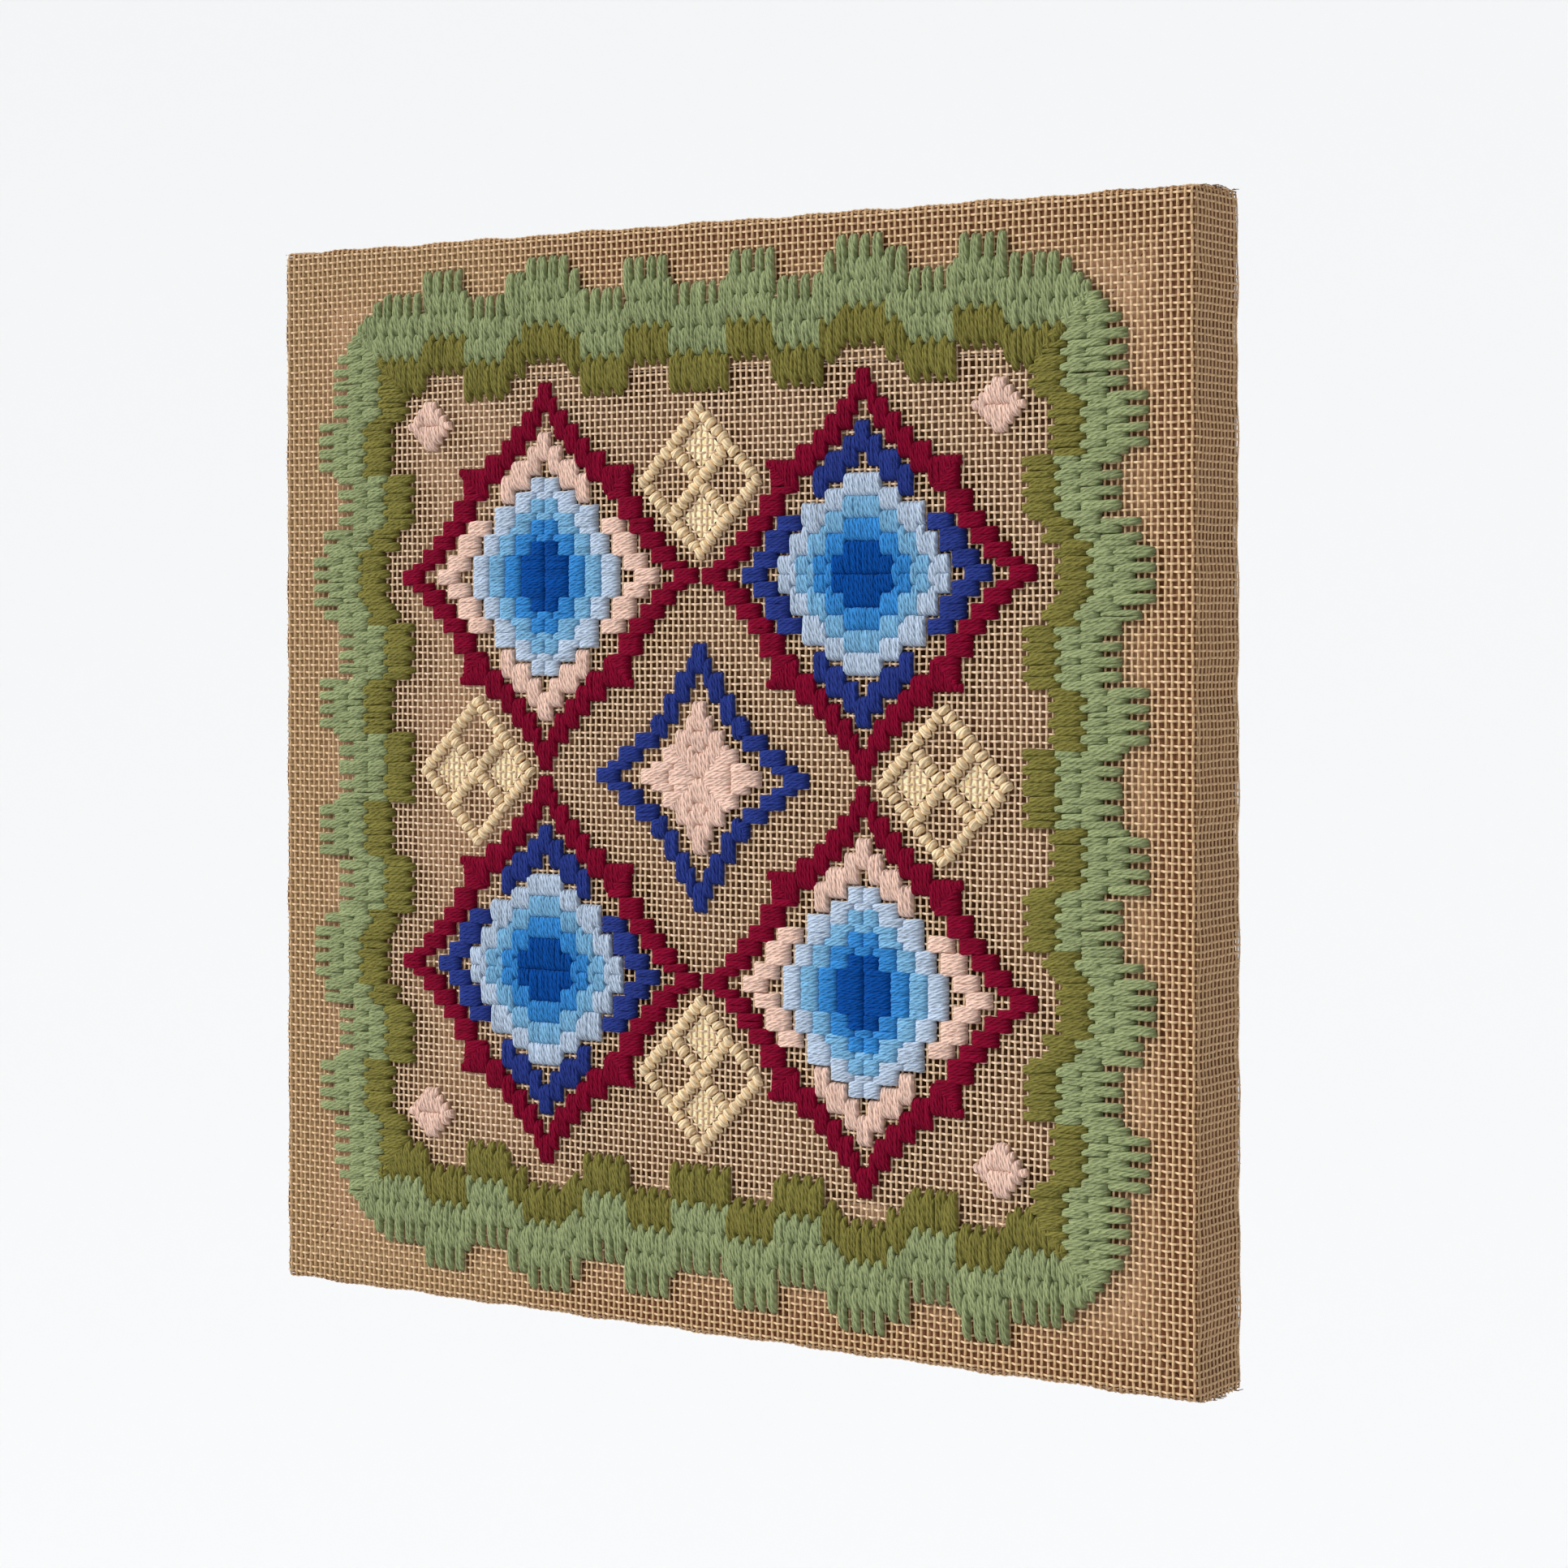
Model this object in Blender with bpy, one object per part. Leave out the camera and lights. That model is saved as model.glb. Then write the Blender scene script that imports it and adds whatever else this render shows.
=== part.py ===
"""Embroidered canvas panel: needlepoint canvas stretched over a mitred pine frame.

Metres, +Z up. The stitched face looks towards -Y, and the back lies in the plane y = 0, against the wall.
The origin is on the back of the hem, at the middle of the top bar.
"""
import math

import bmesh
import bpy
import numpy as np

# Canvas: one sheet over the front and the four sides, with a hem turned in behind
PANEL_SIDE = 0.300
CLOTH_THICK = 0.0010
HEM_WIDTH = 0.020
EDGE_RADIUS = 0.0014
BACK_RADIUS = 0.0010
CORNER_RADIUS = 0.0014
LEAST_RADIUS = 0.0005
TUCK_RISE = 0.0009
TUCK_LENGTH = 0.022
TUCK_START = 0.004
TUCK_STEP = 0.0015

# Frame bars, and the thin board fitted between them
BAR_WIDTH = 0.038
BAR_DEPTH = 0.021
BAR_LIP = 0.005
BAR_SLOPE = 0.004
BOARD_THICK = 0.002

# Space left between two pieces that touch on the real panel
CLEARANCE = 0.0003
PANEL_DEPTH = BAR_DEPTH + 2 * (CLOTH_THICK + CLEARANCE)
BAR_SIDE = PANEL_SIDE - 2 * (CLOTH_THICK + CLEARANCE)
CENTRE_Z = HEM_WIDTH / 2 - PANEL_SIDE / 2

# Weave and stitching, counted in threads of the canvas
COLUMNS = 160
ROWS = 154
THREAD_X = PANEL_SIDE / COLUMNS
THREAD_Z = PANEL_SIDE / ROWS
YARN_RISE = 0.0015
STITCH = 4
BLOOM_BAND = 3
MEDALLION_AT = 28
SPRIG_AT = 50
TRELLIS_AT = 41
TRELLIS_PITCH = 10
TRELLIS_DIAMONDS = 2
TRELLIS_LINE = 2.5

# Each outline is a row of steps for one eighth of its motif: threads from the motif's axis, then its height
STAR_STEPS = ((0, 28), (1, 26), (2, 24), (4, 22), (6, 20), (8, 18), (11, 16), (16, 0))
LEAF_STEPS = ((0, 21), (1, 19), (3, 17), (6, 15), (8, 0))
BLOOM_STEPS = ((0, 14), (3, 12), (6, 10), (10, 0))
CENTRE_STEPS = ((0, 19), (1, 17), (2, 15), (4, 12), (6, 9), (8, 0))
HEART_STEPS = ((0, 11), (1, 9), (2, 7), (4, 5), (5, 0))
SPRIG_STEPS = ((0, 4), (1, 3), (2, 2), (3, 0))
BORDER_STEPS = ((0, 54), (5, 58), (13, 54), (21, 57), (24, 59), (32, 57), (35, 54), (43, 58), (51, 55))
OLIVE_DEPTH = 6
SAGE_DEPTH = 9
CORNER_CUT = 130

# Yarn colours in the order of their numbers on the chart, with the name of the motif each works
YARNS = {
    "burgundy_stars": "7A0F2F",
    "navy_leaves": "24357F",
    "pink_leaves": "E3B9A6",
    "sage_border": "8FA878",
    "olive_border": "7C7433",
    "ice_blue_bloom": "B4CBE8",
    "sky_blue_bloom": "7DB2DA",
    "mid_blue_bloom": "3F86CC",
    "deep_blue_bloom": "0B4FA0",
}
BURGUNDY, NAVY, PINK, SAGE, OLIVE, ICE, SKY, MID, DEEP = range(1, 10)
BEIGE_HEX = "CDB588"
CANVAS_HEX = "C9A77C"
PINE_HEX = "C79A72"
BOARD_HEX = "7A5A3C"


def linear(hex_colour):
    """Linear RGBA of an sRGB hex colour."""
    channels = [int(hex_colour[k:k + 2], 16) / 255 for k in (0, 2, 4)]
    return [c / 12.92 if c <= 0.04045 else ((c + 0.055) / 1.055) ** 2.4 for c in channels] + [1.0]


def make_material(name, hex_colour, roughness):
    """A Principled BSDF material with the piece's colour and roughness."""
    material = bpy.data.materials.new(name)
    material.use_nodes = True
    shader = material.node_tree.nodes["Principled BSDF"]
    shader.inputs["Base Color"].default_value = linear(hex_colour)
    shader.inputs["Roughness"].default_value = roughness
    shader.inputs["Metallic"].default_value = 0.0
    material.diffuse_color = linear(hex_colour)
    return material


def add_piece(name, bm, material, parent):
    """Turn a finished bmesh into a named object under the panel's centre."""
    bmesh.ops.recalc_face_normals(bm, faces=bm.faces)
    mesh = bpy.data.meshes.new(name)
    bm.to_mesh(mesh)
    bm.free()
    mesh.materials.append(material)
    piece = bpy.data.objects.new(name, mesh)
    bpy.context.scene.collection.objects.link(piece)
    piece.parent = parent
    return piece


def square_loop(bm, half, y, rise, tuck):
    """A round-cornered square of vertices, raised above and below where the corner pleats lie."""
    radius = max(LEAST_RADIUS, CORNER_RADIUS - (PANEL_SIDE / 2 - half))
    loop = []
    for quarter, (sx, sz) in enumerate(((1, 1), (-1, 1), (-1, -1), (1, -1))):
        pleat = [(half - tuck - TUCK_STEP, 0.0), (half - tuck, rise)]
        arc = []
        for step in range(4):
            turn = math.radians(90 - 30 * step)
            arc.append((half - radius + radius * math.cos(turn), half - radius + radius * math.sin(turn)))
        points = [(x, half + up) for x, up in pleat]
        points += [(x, z + rise * (step < 2)) for step, (x, z) in enumerate(arc)]
        if quarter in (0, 2):
            points.reverse()
        loop += [bm.verts.new((sx * x, y, sz * z)) for x, z in points]
    return loop


def bridge(bm, first, second):
    """Quads between two loops of as many vertices."""
    count = len(first)
    for k in range(count):
        bm.faces.new((first[k], first[(k + 1) % count], second[(k + 1) % count], second[k]))


def build_canvas(material, parent):
    """The stretched sheet: front, sides with a pleat at each corner, and the hem behind."""
    half, front = PANEL_SIDE / 2, -PANEL_DEPTH
    bend = 1 - math.sqrt(0.5)
    sections = (
        # inset, y, rise of the pleat, length of the pleat
        (EDGE_RADIUS, front, 0.0, TUCK_START),
        (EDGE_RADIUS * bend, front + EDGE_RADIUS * bend, 0.0, TUCK_START),
        (0.0, front + EDGE_RADIUS, TUCK_RISE / 3, TUCK_START),
        (0.0, front + PANEL_DEPTH / 2, TUCK_RISE, TUCK_LENGTH * 0.6),
        (0.0, -BACK_RADIUS, TUCK_RISE, TUCK_LENGTH),
        (BACK_RADIUS * bend, -BACK_RADIUS * bend, TUCK_RISE * 0.7, TUCK_LENGTH),
        (BACK_RADIUS, 0.0, 0.0, TUCK_LENGTH),
        (HEM_WIDTH, 0.0, 0.0, TUCK_START),
        (HEM_WIDTH, -CLOTH_THICK, 0.0, TUCK_START),
        (CLOTH_THICK, -CLOTH_THICK, 0.0, TUCK_LENGTH),
        (CLOTH_THICK, front + CLOTH_THICK, 0.0, TUCK_START),
    )
    bm = bmesh.new()
    loops = [square_loop(bm, half - inset, y, rise, tuck) for inset, y, rise, tuck in sections]
    for first, second in zip(loops, loops[1:]):
        bridge(bm, first, second)
    bm.faces.new(loops[0])
    bm.faces.new(reversed(loops[-1]))
    add_piece("canvas", bm, material, parent)


def shape_top_bar():
    """The top bar about the panel's centre: mitred ends, a flat lip and a face that slopes inwards."""
    back = -CLOTH_THICK - CLEARANCE
    front = back - BAR_DEPTH
    section = (
        # distance in from the outer edge, y
        (0.0, back),
        (BAR_WIDTH, back),
        (BAR_WIDTH, front + BAR_SLOPE),
        (BAR_LIP, front),
        (0.0, front),
    )
    half = BAR_SIDE / 2
    set_back = CLEARANCE * math.sqrt(0.5)
    bm = bmesh.new()
    ends = []
    for side in (-1, 1):
        end = [(side * (half - inward - set_back), y, half - inward) for inward, y in section]
        ends.append([bm.verts.new(point) for point in end])
    bridge(bm, ends[0], ends[1])
    bm.faces.new(ends[0])
    bm.faces.new(reversed(ends[1]))
    return bm


def build_bars(material, parent):
    """Four mitred bars, the top one turned about the panel's middle."""
    for turn, name in enumerate(("bar_top", "bar_right", "bar_bottom", "bar_left")):
        bar = add_piece(name, shape_top_bar(), material, parent)
        bar.rotation_euler = (0.0, math.radians(90 * turn), 0.0)


def build_board(material, parent):
    """The thin brown board in the frame's opening, level with the inner edge of the bars' slope."""
    side = BAR_SIDE - 2 * BAR_WIDTH - 2 * CLEARANCE
    front = -CLOTH_THICK - CLEARANCE - BAR_DEPTH + BAR_SLOPE
    bm = bmesh.new()
    bmesh.ops.create_cube(bm, size=1.0)
    bmesh.ops.scale(bm, vec=(side, BOARD_THICK, side), verts=bm.verts)
    bmesh.ops.translate(bm, vec=(0.0, front + BOARD_THICK / 2, 0.0), verts=bm.verts)
    add_piece("ground_board", bm, material, parent)


def height_at(along, steps):
    """Height of a stepped outline at each distance from its axis."""
    height = np.zeros_like(along)
    for start, level in steps:
        height = np.where(along >= start, level, height)
    return height


def fold_eighth(across, up):
    """Distances (nearer axis, further axis) that bring all eight parts of a motif onto one."""
    across, up = abs(across), abs(up)
    return np.minimum(across, up), np.maximum(across, up)


def draw_chart():
    """Yarn number of every cell of the canvas, 0 where it stays bare: a sampler of four star medallions."""
    x = np.arange(COLUMNS) + 0.5 - COLUMNS / 2
    z = np.arange(ROWS) + 0.5 - ROWS / 2
    x, z = np.meshgrid(x, z, indexing="ij")
    chart = np.zeros(x.shape, int)
    near, far = fold_eighth(x, z)

    past = far - height_at(near, BORDER_STEPS)
    chart[(past >= 0) & (past < OLIVE_DEPTH)] = OLIVE
    chart[(past >= OLIVE_DEPTH) & (past < OLIVE_DEPTH + SAGE_DEPTH)] = SAGE
    chart[near + far >= CORNER_CUT] = 0

    chart[far < height_at(near, CENTRE_STEPS)] = NAVY
    chart[far < height_at(near, CENTRE_STEPS) - STITCH] = 0
    chart[far < height_at(near, HEART_STEPS)] = PINK
    low, high = fold_eighth(abs(x) - SPRIG_AT, abs(z) - SPRIG_AT)
    chart[high < height_at(low, SPRIG_STEPS)] = PINK

    low, high = fold_eighth(abs(x) - MEDALLION_AT, abs(z) - MEDALLION_AT)
    star = height_at(low, STAR_STEPS)
    chart[(high < star) & (high >= star - STITCH)] = BURGUNDY
    leaf = height_at(low, LEAF_STEPS)
    in_leaf = (high < leaf) & (high >= leaf - STITCH)
    chart[in_leaf & (x * z > 0)] = NAVY
    chart[in_leaf & (x * z < 0)] = PINK
    bloom = height_at(low, BLOOM_STEPS)
    for band, shade in enumerate((ICE, SKY, MID, DEEP)):
        chart[high < bloom - band * BLOOM_BAND] = shade
    return chart


def areas_of(filled):
    """The separate areas of a True and False grid, joined edge to edge, in reading order."""
    left = {tuple(cell) for cell in np.argwhere(filled)}
    areas = []
    for start in sorted(left):
        if start not in left:
            continue
        area, waiting = np.zeros_like(filled), [start]
        left.discard(start)
        while waiting:
            i, j = waiting.pop()
            area[i, j] = True
            for cell in ((i + 1, j), (i - 1, j), (i, j + 1), (i, j - 1)):
                if cell in left:
                    left.discard(cell)
                    waiting.append(cell)
        areas.append(area)
    return areas


def outline_edges(filled):
    """Straight edges round the filled cells, each end as (i, j, inward step in i, inward step in j)."""
    grid = np.pad(filled, 1).astype(int)
    edges = []
    for axis in (0, 1):
        cells = grid if axis == 0 else grid.T
        for j in range(1, cells.shape[1]):
            change = cells[:, j] - cells[:, j - 1]
            i = 0
            while i < len(change):
                if change[i] == 0:
                    i += 1
                    continue
                start, inward = i, int(change[i])
                row = j if inward > 0 else j - 1
                while change[i] == inward:
                    i += 1
                low = 1 - 2 * int(cells[start - 1, row])
                high = 2 * int(cells[i, row]) - 1
                ends = [(start - 1, j - 1, low, inward), (i - 1, j - 1, high, inward)]
                edges.append([(b, a, q, p) if axis else (a, b, p, q) for a, b, p, q in ends])
    return edges


def build_yarn(name, filled, place, material, parent):
    """One worked area as a low relief just off the canvas, on the outline of its cells."""
    lowest = -PANEL_DEPTH - CLEARANCE
    bm = bmesh.new()
    corners = {}
    edges = []
    for ends in outline_edges(filled):
        for end in ends:
            if end not in corners:
                x, z = place(*end)
                corners[end] = bm.verts.new((x, lowest, z))
        edges.append(bm.edges.new([corners[end] for end in ends]))
    bmesh.ops.triangle_fill(bm, edges=edges, use_beauty=True)
    risen = bmesh.ops.extrude_face_region(bm, geom=bm.faces[:] + bm.edges[:] + bm.verts[:])
    top = [item for item in risen["geom"] if isinstance(item, bmesh.types.BMVert)]
    bmesh.ops.translate(bm, vec=(0.0, -YARN_RISE, 0.0), verts=top)
    add_piece(name, bm, material, parent)


def place_on_canvas(i, j, in_x, in_z):
    """Panel coordinates of a chart corner, drawn in by half the clearance."""
    inset = CLEARANCE / 2
    return (i - COLUMNS / 2) * THREAD_X + in_x * inset, (j - ROWS / 2) * THREAD_Z + in_z * inset


def build_motifs(chart, parent):
    """Every area of every yarn on the chart."""
    for number, (yarn, colour) in enumerate(YARNS.items(), start=1):
        material = make_material("wool_" + yarn.rsplit("_", 1)[0], colour, 0.9)
        areas = areas_of(chart == number)
        for count, area in enumerate(areas, start=1):
            name = yarn if len(areas) == 1 else f"{yarn}_{count}"
            build_yarn(name, area, place_on_canvas, material, parent)


def build_trellises(parent):
    """The four nets of diagonal couching between the stars and the border."""
    material = make_material("wool_beige", BEIGE_HEX, 0.9)
    per_pitch = int(TRELLIS_PITCH / TRELLIS_LINE)
    count = TRELLIS_DIAMONDS * per_pitch + 1
    i, j = np.indices((count, count))
    net = (i % per_pitch == 0) | (j % per_pitch == 0)
    shift = CLEARANCE / 2 / THREAD_X / TRELLIS_LINE
    for name, (out_x, out_z) in (("top", (0, 1)), ("right", (1, 0)), ("bottom", (0, -1)), ("left", (-1, 0))):
        def place(i, j, in_i, in_j):
            rising = (i + in_i * shift - count / 2) * TRELLIS_LINE
            falling = (j + in_j * shift - count / 2) * TRELLIS_LINE
            out, side = TRELLIS_AT + (rising + falling) / 2, (rising - falling) / 2
            return (out_x * out + out_z * side) * THREAD_X, (out_z * out - out_x * side) * THREAD_Z

        build_yarn("trellis_" + name, net, place, material, parent)


def build_panel():
    """Clear the scene, then make every piece about the panel's middle."""
    for leftover in list(bpy.data.objects):
        bpy.data.objects.remove(leftover, do_unlink=True)
    centre = bpy.data.objects.new("panel_centre", None)
    centre.location = (0.0, 0.0, CENTRE_Z)
    bpy.context.scene.collection.objects.link(centre)
    build_canvas(make_material("cotton_canvas", CANVAS_HEX, 0.85), centre)
    build_bars(make_material("pine", PINE_HEX, 0.6), centre)
    build_board(make_material("painted_board", BOARD_HEX, 0.7), centre)
    build_motifs(draw_chart(), centre)
    build_trellises(centre)


build_panel()
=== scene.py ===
"""Looks of the embroidered canvas panel: woven canvas, wool stitches, pine bars and the board behind."""

import math

import bpy
import numpy as np
from mathutils import Matrix, Vector


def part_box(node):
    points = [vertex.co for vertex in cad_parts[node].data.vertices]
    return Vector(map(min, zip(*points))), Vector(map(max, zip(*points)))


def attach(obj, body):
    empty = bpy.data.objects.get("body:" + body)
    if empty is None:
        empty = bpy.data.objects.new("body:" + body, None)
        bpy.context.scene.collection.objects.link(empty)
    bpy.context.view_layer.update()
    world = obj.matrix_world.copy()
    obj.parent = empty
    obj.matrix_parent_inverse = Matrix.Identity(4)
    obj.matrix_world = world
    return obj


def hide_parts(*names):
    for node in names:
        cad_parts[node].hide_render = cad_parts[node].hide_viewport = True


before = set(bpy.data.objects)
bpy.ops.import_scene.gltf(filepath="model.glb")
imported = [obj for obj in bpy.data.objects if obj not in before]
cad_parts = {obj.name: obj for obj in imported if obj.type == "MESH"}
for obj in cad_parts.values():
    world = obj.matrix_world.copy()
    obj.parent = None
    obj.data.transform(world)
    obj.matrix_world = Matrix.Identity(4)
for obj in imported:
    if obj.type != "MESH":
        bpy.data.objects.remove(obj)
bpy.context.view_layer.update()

# Stretcher bars
# Four mitred bars of planed pine, glued at the corners, with the canvas pulled over their outer lip. Their
# backs show, and their faces show between the threads of the margin. Near the lip they are painted brown for
# the shade under the cloth, lighter to the left where the daylight falls and darker to the right.
PINE_LIGHT = "DCAE84"
PINE_DARK = "B98A60"
# Painted shade: the lip's brown stands for the shade under the cloth's edge
PINE_LIP_SHADE = "824D1F"
# Painted light: the lip and the board turn paler towards the left, where the daylight falls
PINE_DAYLIT = "AA8655"
DAYLIGHT_LEFT = -0.085
DAYLIGHT_RIGHT = -0.030
LIP_ENDS = 0.020
LIP_BEGINS = 0.011
RING_WIDTH_MM = 3.5
PINE_FIBRES_PER_MM = 4.2
GRAIN_STRETCH = 0.06

cloth_low, cloth_high = (np.array(corner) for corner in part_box("canvas"))
SIDE = cloth_high[0] - cloth_low[0]
FRONT = cloth_low[1]
MIDDLE_Z = (cloth_low[2] + cloth_high[2]) / 2


def linear(hex_colour):
    """Linear RGBA of an sRGB hex colour."""
    channels = [int(hex_colour[k:k + 2], 16) / 255 for k in (0, 2, 4)]
    return [c / 12.92 if c <= 0.04045 else ((c + 0.055) / 1.055) ** 2.4 for c in channels] + [1.0]


def add_node(tree, kind, settings=None, links=None):
    """A node of a kind, with its settings (an attribute's name, or an input's name or number) and links."""
    node = tree.nodes.new(kind)
    for key, value in (settings or {}).items():
        if isinstance(key, str) and hasattr(node, key):
            setattr(node, key, value)
        else:
            node.inputs[key].default_value = value
    for key, output in (links or {}).items():
        tree.links.new(output, node.inputs[key])
    return node


def start_material(name, **sockets):
    """A new material with its tree and its Principled shader, whose plain sockets are set."""
    material = bpy.data.materials.new(name)
    material.use_nodes = True
    shader = material.node_tree.nodes["Principled BSDF"]
    for socket, value in sockets.items():
        shader.inputs[socket.replace("_", " ")].default_value = value
    return material, material.node_tree, shader


def painted_daylight_ramp(tree, place, deep_colour, pale_colour):
    """Painted daylight: a colour that turns paler towards the left, in a smooth ramp in x left of the middle.
    """
    side = add_node(tree, "ShaderNodeSeparateXYZ", {}, {"Vector": place})
    share = add_node(tree, "ShaderNodeMapRange",
                     {"interpolation_type": "SMOOTHSTEP", "From Min": DAYLIGHT_LEFT, "From Max": DAYLIGHT_RIGHT},
                     {"Value": side.outputs["X"]})
    colour = add_node(tree, "ShaderNodeMix",
                      {"data_type": "RGBA", 6: linear(pale_colour), 7: linear(deep_colour)},
                      {0: share.outputs["Result"]})
    return colour.outputs[2]


def reach_of(tree, place):
    """The larger of the distances in x and z from the panel's middle."""
    centred = add_node(tree, "ShaderNodeMapping", {"Location": (0.0, 0.0, -MIDDLE_Z)}, {"Vector": place})
    size = add_node(tree, "ShaderNodeVectorMath", {"operation": "ABSOLUTE"}, {0: centred.outputs["Vector"]})
    part = add_node(tree, "ShaderNodeSeparateXYZ", {}, {"Vector": size.outputs["Vector"]})
    reach = add_node(tree, "ShaderNodeMath", {"operation": "MAXIMUM"},
                     {0: part.outputs["X"], 1: part.outputs["Z"]})
    return reach.outputs[0]


def planed_pine(name, grain_axis):
    """Planed, unvarnished pine: pale early wood, darker late wood in long streaks along the bar, a dull face.

    The outer lip is painted brown for the shade under the cloth, and painted paler on the left for the
    daylight.
    """
    material, tree, shader = start_material(name, Roughness=0.6, IOR=1.5)
    stretch = [1.0, 1.0, 1.0]
    stretch[grain_axis] = GRAIN_STRETCH
    place = add_node(tree, "ShaderNodeTexCoord").outputs["Object"]
    along = add_node(tree, "ShaderNodeMapping", {"Scale": stretch}, {"Vector": place}).outputs["Vector"]
    rings = add_node(tree, "ShaderNodeTexNoise",
                     {"Scale": 1000 / RING_WIDTH_MM, "Detail": 3.0, "Distortion": 0.6}, {"Vector": along})
    fibre = add_node(tree, "ShaderNodeTexNoise", {"Scale": 1000 * PINE_FIBRES_PER_MM, "Detail": 2.0},
                     {"Vector": along})
    streak = add_node(tree, "ShaderNodeMapRange", {"From Min": 0.38, "From Max": 0.66},
                      {"Value": rings.outputs["Fac"]})
    wood = add_node(tree, "ShaderNodeMix", {"data_type": "RGBA", 6: linear(PINE_LIGHT), 7: linear(PINE_DARK)},
                    {0: streak.outputs["Result"]})
    # Painted shade: this mask brings in the lip's brown near the outer edge
    lip = add_node(tree, "ShaderNodeMapRange",
                   {"From Min": SIDE / 2 - LIP_ENDS, "From Max": SIDE / 2 - LIP_BEGINS},
                   {"Value": reach_of(tree, place)})
    brown = painted_daylight_ramp(tree, place, PINE_LIP_SHADE, PINE_DAYLIT)
    face = add_node(tree, "ShaderNodeMix", {"data_type": "RGBA"},
                    {0: lip.outputs["Result"], 6: wood.outputs[2], 7: brown})
    bump = add_node(tree, "ShaderNodeBump", {"Strength": 0.4, "Distance": 0.0002},
                    {"Height": fibre.outputs["Fac"]})
    tree.links.new(face.outputs[2], shader.inputs["Base Color"])
    tree.links.new(bump.outputs["Normal"], shader.inputs["Normal"])
    return material


pine_across = planed_pine("planed_pine_across", 0)
pine_upright = planed_pine("planed_pine_upright", 2)
for bar, wood in (("bar_top", pine_across), ("bar_bottom", pine_across),
                  ("bar_left", pine_upright), ("bar_right", pine_upright)):
    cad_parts[bar].data.materials.clear()
    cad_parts[bar].data.materials.append(wood)

# Ground board
# A thin hardboard let in between the bars, with its front painted a warm brown and its back left bare. The
# painted front is what shows dark through the canvas.
BOARD_BROWN = "66390F"
BOARD_WORN = "825424"
# Painted light: the board's front is coloured paler towards the left, where the daylight falls
BOARD_DAYLIT = "D2A27A"
BOARD_BARE = "5C3B24"
BOARD_CLOUD_MM = 6.25

board_low, board_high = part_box("ground_board")


def worn_daylit_board_paint(name):
    """Brown board paint, matt, rubbed in clouds a few millimetres across, and painted paler on the left for
    daylight.

    Through the board's thickness it gives way to the bare, darker board of the back.
    """
    material, tree, shader = start_material(name, Roughness=0.6)
    place = add_node(tree, "ShaderNodeTexCoord").outputs["Object"]
    wear = add_node(tree, "ShaderNodeTexNoise", {"Scale": 1000 / BOARD_CLOUD_MM, "Detail": 4.0},
                    {"Vector": place})
    depth = add_node(tree, "ShaderNodeSeparateXYZ", {}, {"Vector": place})
    behind = add_node(tree, "ShaderNodeMapRange", {"From Min": board_low[1], "From Max": board_high[1]},
                      {"Value": depth.outputs["Y"]})
    brown = add_node(tree, "ShaderNodeMix", {"data_type": "RGBA", 7: linear(BOARD_BARE)},
                     {0: behind.outputs["Result"], 6: painted_daylight_ramp(tree, place, BOARD_BROWN, BOARD_DAYLIT)})
    paint = add_node(tree, "ShaderNodeMix", {"data_type": "RGBA", 7: linear(BOARD_WORN)},
                     {0: wear.outputs["Fac"], 6: brown.outputs[2]})
    tree.links.new(paint.outputs[2], shader.inputs["Base Color"])
    return material


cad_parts["ground_board"].data.materials.clear()
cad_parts["ground_board"].data.materials.append(worn_daylit_board_paint("worn_daylit_board_paint"))

# Canvas front
# Plain-woven cotton needlepoint canvas, sized stiff, of 13 threads to the inch. The upright threads lie
# nearly straight and the level ones go over and under them. It is one cloth with the sides, which come next.
THREADS_ACROSS = 160
THREADS_UP = 154
PITCH_X = SIDE / THREADS_ACROSS
PITCH_Z = SIDE / THREADS_UP
PITCH = (PITCH_X + PITCH_Z) / 2
THREAD_RADIUS = 0.00035
# Thickness, swing, crown and tone, one value each for upright threads, level threads and frayed ends
GIRTH = (1.0, 0.84, 0.55)
SWING = (0.2, 1.0, 0.3)
CROWN = (0.35, 1.0, 0.3)
TONE = (0.1, 0.8, 0.1)
TONE_SPREAD = 0.16
EDGE_THREADS_X = 79
EDGE_THREADS_Z = 76
BEND_FRONT = 0.00066
BEND_BACK = 0.00045
FLAT_REACH = SIDE / 2 - 2 * THREAD_RADIUS - BEND_FRONT
SIDE_RUN = -FRONT - 4 * THREAD_RADIUS - BEND_FRONT - BEND_BACK
PULLED_TIGHT = 0.45
WANDER = 0.00007
SLOW_WAVE = 0.31
QUICK_WAVE = 0.83
UNEVEN = 0.00007
KINK = 0.00007
# Tables of random draws: one slot a thread, counted from the middle, and starts of the pattern along it
THREAD_SLOTS = 260
UV_STARTS = 400
START_ALONG = 0.1
START_ACROSS = 0.01
CANVAS_UPRIGHT = "ECCDA6"
# Painted highlight: the level threads are coloured paler than the upright ones, for the light their floats
# catch
CANVAS_LEVEL_LIT = "FDE0C1"
CANVAS_YELLOWED = "F6F0DF"
YELLOW_BEGINS = 0.105
YELLOW_FULL = 0.135
CANVAS_SHADE = "A0744A"
COTTON_FLECK_MM = (0.3, 0.8, 1.0)
COTTON_SLANT = 0.5
rng = np.random.default_rng(13)
thread_phase = rng.uniform(0, 2 * math.pi, (2, 2, THREAD_SLOTS))
thread_offset = rng.normal(0, UNEVEN, (2, THREAD_SLOTS))


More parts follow.
